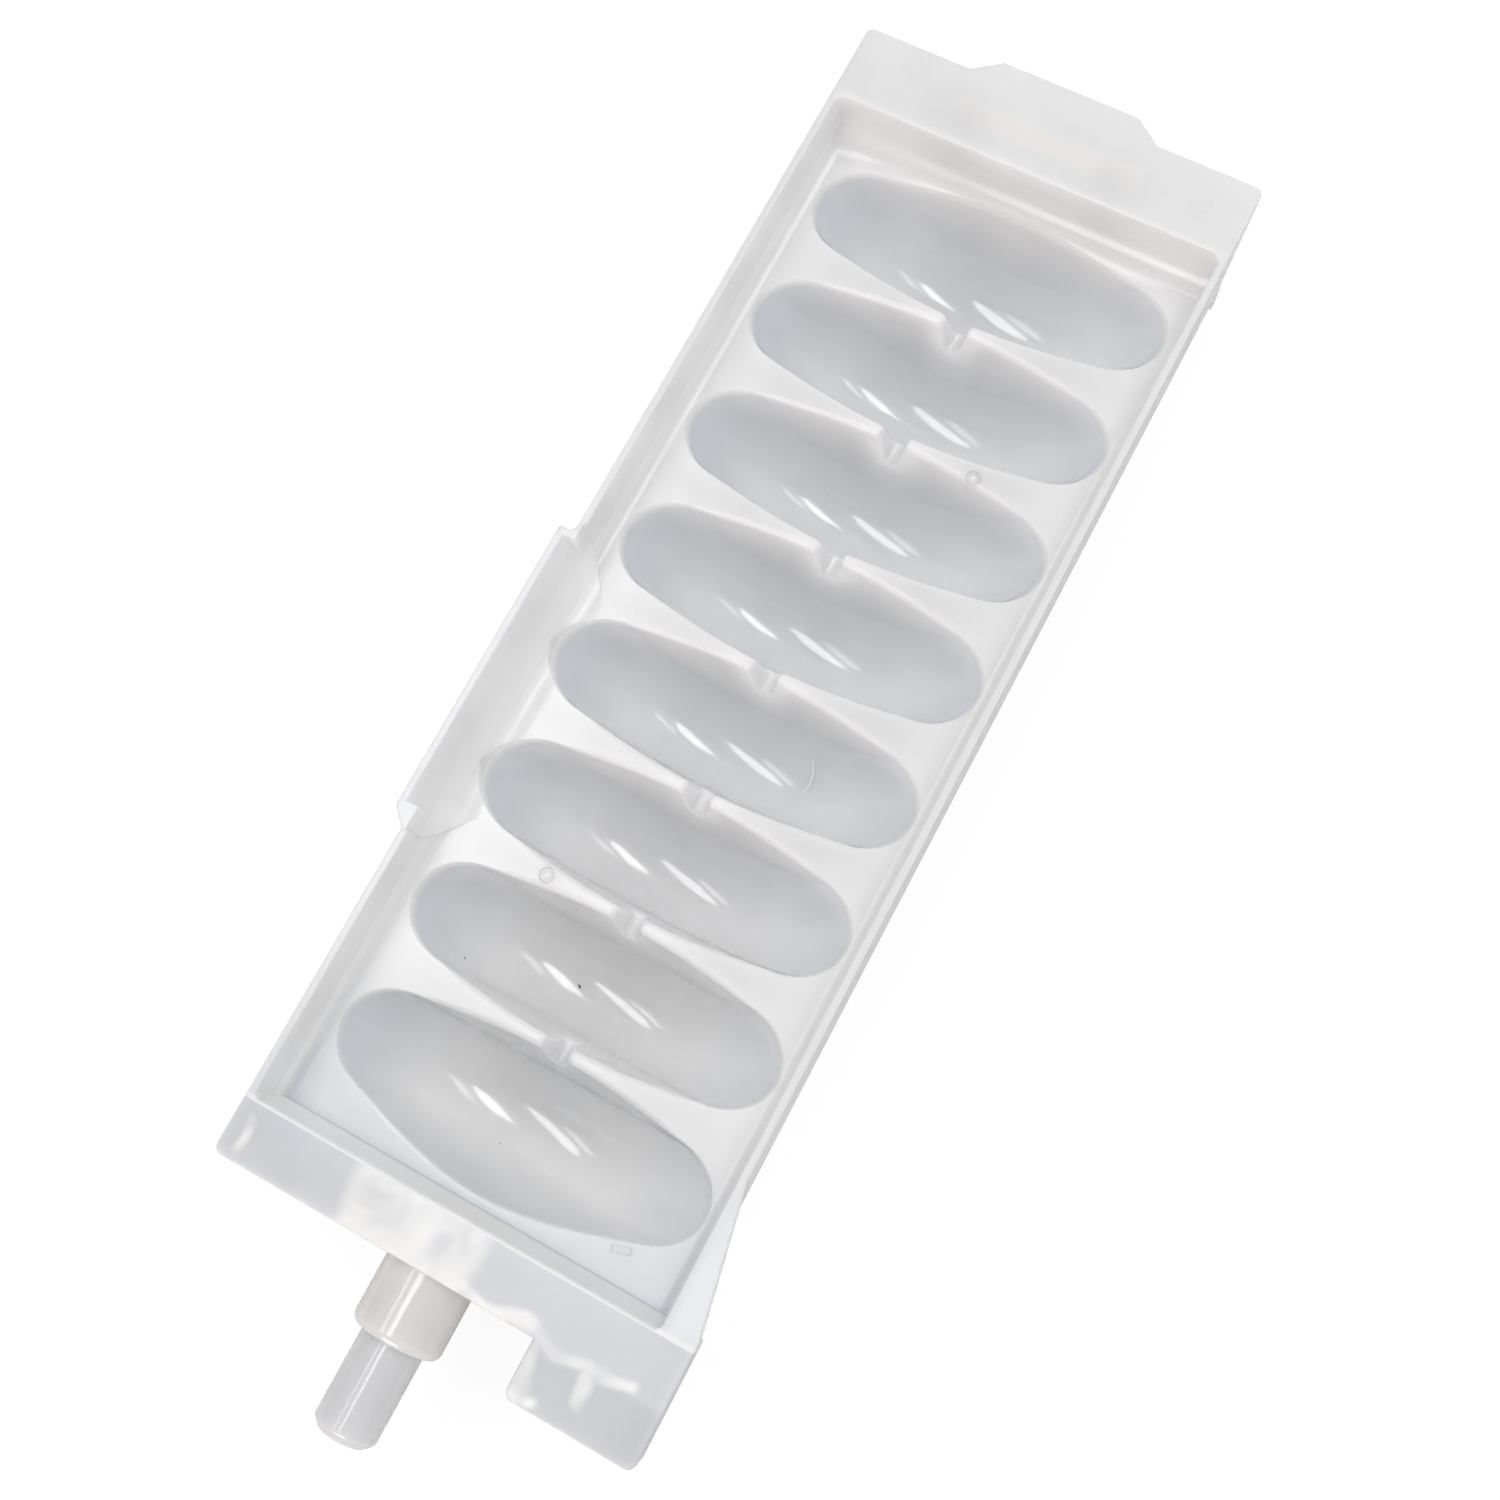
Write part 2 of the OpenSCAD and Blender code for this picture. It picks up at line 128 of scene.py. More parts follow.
# The colours, laid over one another in this order: result, where, what lies under, what lies over.
# Over the deck's own colour, the layers paint the light and shade of each zone
LAYERS = (
    # Painted shade: the deck at the pin end is darker than the rest
    ("deck", "near_pin", "body", "end"),
    # Painted light: a paler field over the hub's disc, as its light shows through the flange
    ("hub", "glow_over_hub", "hub_flange", "glow_over_hub"),
    ("deck", "on_hub", "deck", "hub"),
    ("deck", "on_rim", "deck", "rim"),
    # Painted light: the walls between deck and rim, the pin wall too, are lighter than the deck
    ("walls", "pin_wall", "wall", "end_wall"),
    ("deck", "upright", "deck", "walls"),
    # Painted shade: the cups' tips are darker, darkest on the ear's side
    ("tips", "ear_side", "tip", "near_tip"),
    # Painted light: the cups are a little lighter and bluer than the deck, less blue towards the pin
    ("cups", "to_pin", "cup", "last_cup"),
    ("cups", "in_tip", "cups", "tips"),
    # Painted light and shade: pale fields of light over lips and ribs, on the darker flange and tab
    ("flange", "seen", "pin_flange", "painted_see_through_glow"),
    ("tab", "seen", "tab", "painted_see_through_glow"),
    # Painted light and shade: the collar, the pin and the tab each get their own tone, the tab darkest
    ("beyond", "on_pin", "collar", "pin"),
    ("beyond", "on_tab", "beyond", "tab"),
    ("tray", "in_cup", "deck", "cups"),
    ("tray", "on_flange", "tray", "flange"),
    # Painted highlights: white lines along the lips and the pin wall's top edge
    ("tray", "fine_edge", "tray", "painted_edge_highlight"),
    ("tray", "past_flange", "tray", "beyond"),
)
# The flow's clouds: the part of their noise that counts, and the lightness that it gives
CLOUD_NOISE, CLOUD_LIGHT = (0.3, 0.7), (0.97, 1.02)
# The wisps in the painted pale fields of what shows through: how many to a cloud, the part that counts, and
# what they leave of it
WISPS_PER_CLOUD, WISP_NOISE, WISP_SHARE = 1.9, (0.35, 0.62), (0.35, 1.0)
# How far its outlines waver, and over what length
WAVER, WAVER_LENGTH = 6.0 * MM, 8.0 * MM
# The skin's share outside the polished cups and in them, and the refraction of plastic and skin
SKIN_SHARE, PLASTIC_IOR, SKIN_IOR = (0.4, 1.0), 1.49, 1.5

# The marks' sizes are in mm and their turns in degrees. A line's height is a share of its width
RING_CORNERS, FRAME_CORNERS, LINE_CORNERS, LINE_HEIGHT = 32, 4, 8, 0.7
GATES, GATE_RADIUS, GATE_LINE = ((-78.5, -16.4), (-177.5, 16.4)), 1.3, 0.11
NUB_CORNERS, NUB_FOOT, NUB_TOP, NUB_HEIGHT, NUB_TURN = 7, 0.75, 0.45, 0.9, 20.0
# The nub's broken end: its height as a share, how far its corners differ, and the wave's step between them
NUB_END, NUB_UNEVEN, NUB_STEP = 0.4, 0.35, 2.3
EJECTORS, EJECTOR_RADIUS, EJECTOR_LINE = ((-242.6, -28.4), (-237.9, 31.0)), 2.1, 0.05
# The small frame-shaped mark beside the last cup: place, turn, size, its sides' shares of it, and line
LIP_MARK, LIP_MARK_TURN = (-30.0, 25.8), 105.0
LIP_MARK_SIZE, LIP_MARK_SHAPE, LIP_MARK_LINE = 1.0, (2.3, 0.85), 0.08
# The scuff in the fifth cup: a curve's ends and its middle handle, its steps, radius, thin ends and rise
SCUFF_ENDS, SCUFF_MIDDLE = ((-121.6, 12.0), (-115.4, 13.3)), (-119.4, 14.5)
SCUFF_STEPS, SCUFF_RADIUS, SCUFF_TAPER, SCUFF_RISE = 12, 0.24, (0.1, 0.8), 0.3
SCUFF_CORNERS = (0.0, 1.57, 3.14, 4.71)
# Specks of dirt: x, y, half length, half width
SPECKS = ((-59.5, -24.6, 0.2, 0.2), (-65.1, -6.4, 0.3, 0.16), (-64.9, -6.1, 0.13, 0.26),
          (-34.1, -4.5, 0.12, 0.12))
SPECK_HEIGHT, SPECK_TURN = 0.05, 25.0

# The strip lamps: name, start and end (m), and the settings that give their width and power
STRIPS = (
    ("lamp_near", (-0.20, 0.92), (-1.56, 0.06), "lamp_width", "lamp_power"),
    ("lamp_far", (0.46, -0.02), (-1.15, -1.34), "lamp_width", "lamp_power"),
    ("lamp_near_outer", (-0.36, 1.50), (-1.60, 0.80), "outer_width", "outer_power"),
    ("lamp_far_outer", (0.55, -0.68), (-0.70, -1.64), "outer_width", "outer_power"),
)
STRIP_HEIGHT = 1.85
# The low soft lamps: name, azimuth and elevation (degrees), colour, and the setting that gives their power
SOFT_LAMPS = (
    ("lamp_low", 0.0, 16.0, "#FFF1EB", "low_power"),
    ("lamp_side", 90.0, 20.0, "#FFFFFF", "side_power"),
    ("lamp_back", 180.0, 20.0, "#F4F8FF", "back_power"),
)
SOFT_SIDE, SOFT_DISTANCE = 1.0, 2.3
# The floor's side (m), its grey in the tray's light, and its glow to the camera near the tray and far off
FLOOR_SIDE, FLOOR_GREY, FLOOR_DIM = 6.0, "#E6E6E6", 0.2
GLOW_DISTANCES, GLOW = (0.4, 1.6), (0.86, 1.0)
CAMERA_PLACE, CAMERA_TURN = (-55.722 * MM, 62.682 * MM, 303.525 * MM), (14.541, 4.402, 118.286)
SENSOR_WIDTH, CLIP_START = 36.0, 0.01


def linear(hex_colour):
    """Turns an sRGB hex colour such as #C8CACC into linear red, green and blue, with full alpha."""
    parts = [int(hex_colour[i:i + 2], 16) / 255 for i in (1, 3, 5)]
    return tuple(c / 12.92 if c <= 0.04045 else ((c + 0.055) / 1.055) ** 2.4 for c in parts) + (1.0,)


def add_node(tree, kind, settings=None, **sockets):
    """Adds a node, sets its properties, and sets or links its inputs by name, or by number as in _0."""
    node = tree.nodes.new(kind)
    for key, value in (settings or {}).items():
        setattr(node, key, value)
    for key, value in sockets.items():
        socket = node.inputs[int(key[1:])] if key[0] == "_" else node.inputs[key.replace("_", " ")]
        if isinstance(value, bpy.types.NodeSocket):
            tree.links.new(value, socket)
        else:
            socket.default_value = value
    return node


def new_material(name):
    """Makes a material with an empty node tree, and returns both."""
    material = bpy.data.materials.new(name)
    material.use_nodes = True
    material.node_tree.nodes.clear()
    return material, material.node_tree


class StudioSettings(bpy.types.PropertyGroup):
    """Lamps, floor and camera."""

    lamp_width: bpy.props.FloatProperty(
        name="Lamp width", description="Width of a strip lamp", default=0.45, unit="LENGTH")
    lamp_power: bpy.props.FloatProperty(
        name="Lamp power", description="Power of one strip lamp", default=10.5)
    outer_width: bpy.props.FloatProperty(
        name="Outer width", description="Width of an outer strip lamp", default=0.3, unit="LENGTH")
    outer_power: bpy.props.FloatProperty(
        name="Outer power", description="Power of an outer strip lamp", default=3.0)
    low_power: bpy.props.FloatProperty(
        name="Pin light", description="Power of the low soft lamp past the pin", default=18.0)
    side_power: bpy.props.FloatProperty(
        name="Tab light", description="Power of the low soft lamp on the tab's side", default=5.0)
    back_power: bpy.props.FloatProperty(
        name="Hub light", description="Power of the low soft lamp past the hub", default=5.0)
    sky_strength: bpy.props.FloatProperty(
        name="Room light", description="Strength of the light from the room", default=0.32)
    lens: bpy.props.FloatProperty(
        name="Focal length", description="Focal length on a 36 mm sensor", default=43.26)


class ShapeSettings(bpy.types.PropertyGroup):
    """How the moulding's edges are rounded."""

    lip_radius: bpy.props.FloatProperty(
        name="Lip radius", description="Radius of the cups' lips", default=0.8 * MM, unit="LENGTH")
    edge_radius: bpy.props.FloatProperty(
        name="Edge radius", description="Radius of every other edge", default=0.3 * MM, unit="LENGTH")
    sharp_angle: bpy.props.FloatProperty(
        name="Sharp from", description="Turn from which an edge is rounded",
        default=math.radians(35), subtype="ANGLE")
    flat_angle: bpy.props.FloatProperty(
        name="Flat to", description="Turn up to which faces are joined",
        default=math.radians(0.5), subtype="ANGLE")
    merge: bpy.props.FloatProperty(
        name="Merge distance", description="Distance at which points are one",
        default=0.002 * MM, unit="LENGTH")


class PlasticSettings(bpy.types.PropertyGroup):
    """The tray's plastic, with light and shade painted into its colour zone by zone."""

    # Apart from body, the deck's own colour, these colours are the painted light and shade of their zones
    body: bpy.props.StringProperty(
        name="Body", description="Colour of the deck away from the pin end", default="#EEEEEF")
    # Painted shade: the pin end's deck is darker
    end: bpy.props.StringProperty(
        name="Pin end", description="Colour of the deck at the pin end", default="#D7DADE")
    hub_flange: bpy.props.StringProperty(
        name="Hub flange", description="Colour of the flange over the drive hub", default="#E8E9EA")
    # Painted light: the paler field over the hub's disc
    glow_over_hub: bpy.props.StringProperty(
        name="Over the hub", description="Colour of that flange above the disc", default="#EFECEC")
    # Painted light: the walls, the pin wall too, are lighter than the deck
    wall: bpy.props.StringProperty(
        name="Walls", description="Colour of the walls between deck and rim", default="#FDFDFD")
    end_wall: bpy.props.StringProperty(
        name="Pin wall", description="Colour of the wall at the pin end", default="#F3F3F1")
    # Painted shade: the flange over the collar is darker
    pin_flange: bpy.props.StringProperty(
        name="Pin flange", description="Colour of the flange over the collar", default="#CFD1D6")
    # Painted light over lips and ribs that show through a plate
    painted_see_through_glow: bpy.props.StringProperty(
        name="Seen through", description="Colour of a plate above a lip or a rib", default="#F6F6F5")
    # Painted highlight on the fine round edges
    painted_edge_highlight: bpy.props.StringProperty(
        name="Bright edges", description="Colour of the fine round edges", default="#FFFFFF")
    rim: bpy.props.StringProperty(
        name="Rim", description="Colour of the side lips and the ear", default="#E3E7ED")
    # Painted light and shade: the cups' tones, with darker tips, darkest on the ear's side
    cup: bpy.props.StringProperty(
        name="Cups", description="Colour of the cups' thin walls at the hub end", default="#F0F2F5")
    last_cup: bpy.props.StringProperty(
        name="Last cups", description="Colour of the cups at the pin end", default="#F1F1F2")
    tip: bpy.props.StringProperty(
        name="Cup tips", description="Colour of the cups' thin tips", default="#E1E4EA")
    near_tip: bpy.props.StringProperty(
        name="Ear tips", description="Colour of the tips on the ear's side", default="#D5D8DD")
    # Painted light and shade: the collar, the pin and the tab each have a tone of their own, the tab
    # darkest
    collar: bpy.props.StringProperty(
        name="Collar", description="Colour of the collar behind the pin", default="#E5E4E2")
    pin: bpy.props.StringProperty(
        name="Pin", description="Colour of the pin", default="#DCDDDF")
    tab: bpy.props.StringProperty(
        name="Tab", description="Colour of the stop tab", default="#C2C4C8")
    depth: bpy.props.FloatProperty(
        name="Light depth", description="How far light wanders in the plastic",
        default=5.0 * MM, unit="LENGTH")
    roughness: bpy.props.FloatProperty(
        name="Roughness", description="Roughness below the skin", default=0.2)
    cup_skin: bpy.props.FloatProperty(
        name="Cup skin", description="Roughness of the glossy skin in the cups", default=0.07)
    skin: bpy.props.FloatProperty(
        name="Skin", description="Roughness of the skin outside the cups", default=0.45)
    flow: bpy.props.FloatProperty(
        name="Flow marks", description="Size of the clouds that the melt's flow left",
        default=14.0 * MM, unit="LENGTH")
    waves: bpy.props.FloatProperty(
        name="Waves", description="Length of the skin's shallow waves", default=2.5 * MM, unit="LENGTH")
    wave_height: bpy.props.FloatProperty(
        name="Wave height", description="Height of the skin's shallow waves",
        default=0.012 * MM, unit="LENGTH", precision=6)


def soft_band(tree, value, middle, half, soft):
    """Is 1 up to half from the middle (mm), and falls smoothly to 0 over the soft width beyond."""
    shifted = add_node(tree, "ShaderNodeMath", {"operation": "SUBTRACT"}, _0=value, _1=middle * MM)
    off = add_node(tree, "ShaderNodeMath", {"operation": "ABSOLUTE"}, _0=shifted.outputs[0])
    return add_node(tree, "ShaderNodeMapRange", {"interpolation_type": "SMOOTHSTEP"}, Value=off.outputs[0],
                    From_Min=(half + soft) * MM, From_Max=half * MM).outputs[0]


def soft_field(tree, along, x, half_x, y, half_y, soft):
    """Is 1 in an upright rectangle about x, y (mm), and falls smoothly to 0 round it."""
    return add_node(tree, "ShaderNodeMath", {"operation": "MULTIPLY"},
                    _0=soft_band(tree, along["X"], x, half_x, soft),
                    _1=soft_band(tree, along["Y"], y, half_y, soft)).outputs[0]


def natural_polypropylene(settings):
    """Natural polypropylene, injection moulded: milky, lets light through, with a glossy skin.
    Its colour holds painted light and shade, zone by zone. Where a wall is thin and stands alone, as in
    the cups, the plastic looks greyer, and between two cups, where their walls stand back to back, whiter
    again: the cups get a painted tone of their own, with darker tips, that fades between two cups. The
    walls are painted lighter and the pin end darker. What stands under a thin plate, as lips, ribs and the
    hub's disc do, is painted as a paler field of the light showing through it, and fine white lines along
    the lips and the pin wall's top edge are painted highlights."""
    material, tree = new_material("natural_polypropylene")
    place = add_node(tree, "ShaderNodeTexCoord").outputs["Object"]
    along = add_node(tree, "ShaderNodeSeparateXYZ", _0=place).outputs
    values = {axis: along[axis] for axis in "XYZ"}
    values["beside"] = add_node(tree, "ShaderNodeMath", {"operation": "ABSOLUTE"}, _0=along["Y"]).outputs[0]
    from_first = add_node(tree, "ShaderNodeMath", {"operation": "SUBTRACT"}, _0=along["X"], _1=FIRST_CUP)
    values["from_middle"] = add_node(tree, "ShaderNodeMath", {"operation": "PINGPONG"},
                                     _0=from_first.outputs[0], _1=CUP_PITCH / 2).outputs[0]
    for name, line, start, end in SPANS:
        values[name] = add_node(tree, "ShaderNodeMapRange", {"interpolation_type": "SMOOTHSTEP"},
                                Value=values[line], From_Min=start * MM, From_Max=end * MM).outputs[0]
    values["wall_line"] = soft_band(tree, along["X"], *WALL_HIGHLIGHT_LINE)
    values["lip_line"] = soft_band(tree, along["Z"], *LIP_HIGHLIGHT_LINE)
    values["glow_over_hub"] = soft_field(tree, along, *OVER_HUB)

    # The painted pale fields of what shows through have wavering outlines and are broken up by wisps
    waver = add_node(tree, "ShaderNodeTexNoise", Vector=place, Scale=1 / WAVER_LENGTH, Detail=0.0)
    shift = add_node(tree, "ShaderNodeVectorMath", {"operation": "SUBTRACT"}, _0=waver.outputs["Color"],
                     _1=(0.5, 0.5, 0.5))
    moved = add_node(tree, "ShaderNodeVectorMath", {"operation": "MULTIPLY_ADD"}, _0=shift.outputs[0],
                     _1=(WAVER, WAVER, 0), _2=place)
    wavering = add_node(tree, "ShaderNodeSeparateXYZ", _0=moved.outputs[0]).outputs
    values["pale"] = 0.0
    for field in SEEN_THROUGH:
        values["pale"] = add_node(tree, "ShaderNodeMath", {"operation": "MAXIMUM"}, _0=values["pale"],
                                  _1=soft_field(tree, wavering, *field)).outputs[0]
    wisps = add_node(tree, "ShaderNodeTexNoise", Vector=place, Scale=WISPS_PER_CLOUD / settings.flow,
                     Detail=1.0, Distortion=0.5).outputs[0]
    values["mottled"] = add_node(tree, "ShaderNodeMapRange", Value=wisps,
                                 From_Min=WISP_NOISE[0], From_Max=WISP_NOISE[1],
                                 To_Min=WISP_SHARE[0], To_Max=WISP_SHARE[1]).outputs[0]
    for name, operation, *inputs in MEETINGS:
        sockets = {f"_{number}": values.get(item, item) for number, item in enumerate(inputs)}
        values[name] = add_node(tree, "ShaderNodeMath", {"operation": operation}, **sockets).outputs[0]

    tones = {}
    for name, where, *pair in LAYERS:
        under, over = (tones[key] if key in tones else linear(getattr(settings, key)) for key in pair)
        tones[name] = add_node(tree, "ShaderNodeMix", {"data_type": "RGBA"}, _0=values[where],
                               _6=under, _7=over).outputs[2]
    clouds = add_node(tree, "ShaderNodeTexNoise", Vector=place, Scale=1 / settings.flow, Detail=3.0,
                      Roughness=0.6).outputs[0]
    light = add_node(tree, "ShaderNodeMapRange", Value=clouds, From_Min=CLOUD_NOISE[0],
                     From_Max=CLOUD_NOISE[1], To_Min=CLOUD_LIGHT[0], To_Max=CLOUD_LIGHT[1]).outputs[0]
    clouded = add_node(tree, "ShaderNodeHueSaturation", Color=tones["tray"], Value=light).outputs[0]

    swell = add_node(tree, "ShaderNodeTexNoise", Vector=place, Scale=1 / settings.waves, Detail=1.0,
                     Roughness=0.5).outputs[0]
    waves = add_node(tree, "ShaderNodeBump", Strength=1.0, Distance=settings.wave_height,
                     Height=swell).outputs[0]
    gloss = add_node(tree, "ShaderNodeMapRange", Value=values["polished"], To_Min=settings.skin,
                     To_Max=settings.cup_skin).outputs[0]
    coat = add_node(tree, "ShaderNodeMapRange", Value=values["polished"], To_Min=SKIN_SHARE[0],
                    To_Max=SKIN_SHARE[1]).outputs[0]
    shader = add_node(tree, "ShaderNodeBsdfPrincipled", {"subsurface_method": "RANDOM_WALK"},
                      Base_Color=clouded, Roughness=settings.roughness, IOR=PLASTIC_IOR, Normal=waves,
                      Subsurface_Weight=1.0, Subsurface_Radius=(1.0, 1.0, 1.0),
                      Subsurface_Scale=settings.depth, Subsurface_Anisotropy=0.0,
                      Coat_Weight=coat, Coat_Roughness=gloss, Coat_IOR=SKIN_IOR, Coat_Normal=waves)
    output = add_node(tree, "ShaderNodeOutputMaterial")
    tree.links.new(shader.outputs[0], output.inputs["Surface"])
    return material


def opaque_skin(name, colour):
    """Polypropylene in a scuff or a thin raised line: no light wanders in it. It reads as a fine pale
    scrape, and in grey as a thin line round a witness mark, where the grey is painted shade along the line."""
    material, tree = new_material(name)
    shader = add_node(tree, "ShaderNodeBsdfPrincipled", Base_Color=linear(colour), Roughness=0.45,
                      IOR=PLASTIC_IOR)
    output = add_node(tree, "ShaderNodeOutputMaterial")
    tree.links.new(shader.outputs[0], output.inputs["Surface"])
    return material


def dark_dirt():
    """Specks of dried dirt: dull and nearly black, the only dark points on the tray."""
    material, tree = new_material("dark_dirt")
    shader = add_node(tree, "ShaderNodeBsdfPrincipled", Base_Color=linear("#2A2725"), Roughness=0.8)
    output = add_node(tree, "ShaderNodeOutputMaterial")
    tree.links.new(shader.outputs[0], output.inputs["Surface"])
    return material


def room_beside(edge):
    """How far the faces beside an edge reach before their next edge."""
    start, end = (v.co for v in edge.verts)
    room = math.inf
    for face in edge.link_faces:
        for other in face.edges:
            if any(v in edge.verts for v in other.verts):
                continue
            far, way = other.verts[0].co, other.verts[1].co - other.verts[0].co
            for part in ALONG_EDGE:
                point = start.lerp(end, part)
                near = max(0.0, min(1.0, (point - far).dot(way) / max(way.length_squared, LEAST_SQUARE)))
                room = min(room, (far + way * near - point).length)
        for corner in face.verts:
            if len(face.verts) == 3 and corner not in edge.verts:
                room = min(room, (corner.co - start).cross(end - start).length / (end - start).length)
    return room


class RoundTray(bpy.types.Operator):
    """Makes the tray from the solid, with the round lips and edges of a moulding"""

    bl_idname = "ice_tray.round"
    bl_label = "Round the tray's edges"

    def execute(self, context):
        shape = context.scene.tray_shape
        tray = bpy.data.objects.new("tray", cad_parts["ice_tray"].data.copy())
        context.scene.collection.objects.link(tray)
        bpy.ops.object.select_all(action="DESELECT")
        tray.select_set(True)
        context.view_layer.objects.active = tray
        bpy.ops.mesh.customdata_custom_splitnormals_clear()
        bpy.ops.object.mode_set(mode="EDIT")
        bpy.ops.mesh.select_all(action="SELECT")
        bpy.ops.mesh.remove_doubles(threshold=shape.merge)
        bpy.ops.mesh.dissolve_limited(angle_limit=shape.flat_angle)
        bpy.ops.object.mode_set(mode="OBJECT")
        self.weigh(tray, shape)
        rounding = tray.modifiers.new("edges", "BEVEL")
        rounding.limit_method = "WEIGHT"
        rounding.width = shape.lip_radius
        rounding.segments = LIP_SEGMENTS
        rounding.loop_slide = False
        rounding.use_clamp_overlap = False
        bpy.ops.object.modifier_apply(modifier=rounding.name)
        bpy.ops.object.shade_smooth_by_angle(angle=SMOOTH_ANGLE)
        flats = tray.modifiers.new("flats", "WEIGHTED_NORMAL")
        flats.keep_sharp = True
        bpy.ops.object.modifier_apply(modifier=flats.name)
        tray.data.materials.clear()
        tray.data.materials.append(natural_polypropylene(context.scene.tray_plastic))
        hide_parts("ice_tray")
        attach(tray, BODY)
        return {"FINISHED"}

    def weigh(self, tray, shape):
        """Gives the cups' lips the full radius, and other outer edges with room for it a smaller one."""
        work = bmesh.new()
        work.from_mesh(tray.data)
        weight = work.edges.layers.float.new("bevel_weight_edge")
        for edge in work.edges:
            if len(edge.link_faces) != 2 or edge.calc_face_angle_signed() < shape.sharp_angle:
                continue
            if all(self.in_basin(v.co) for v in edge.verts):
                middle = (edge.verts[0].co + edge.verts[1].co) / 2
                fade = (LIP_FADE[1] - abs(middle.y)) / (LIP_FADE[1] - LIP_FADE[0])
                edge[weight] = 0.0 if middle.x < FIRST_LIP else min(max(fade, 0.0), 1.0)
            elif room_beside(edge) > shape.edge_radius / 2:
                edge[weight] = shape.edge_radius / shape.lip_radius
        work.to_mesh(tray.data)
        work.free()

    def in_basin(self, point):
        """Tells whether a point lies on the deck or in a cup above the weirs' floors."""
        return (BASIN_ENDS[0] < point.x < BASIN_ENDS[1] and abs(point.y) < BASIN_HALF_WIDTH
                and LIP_LEVELS[0] < point.z < LIP_LEVELS[1])


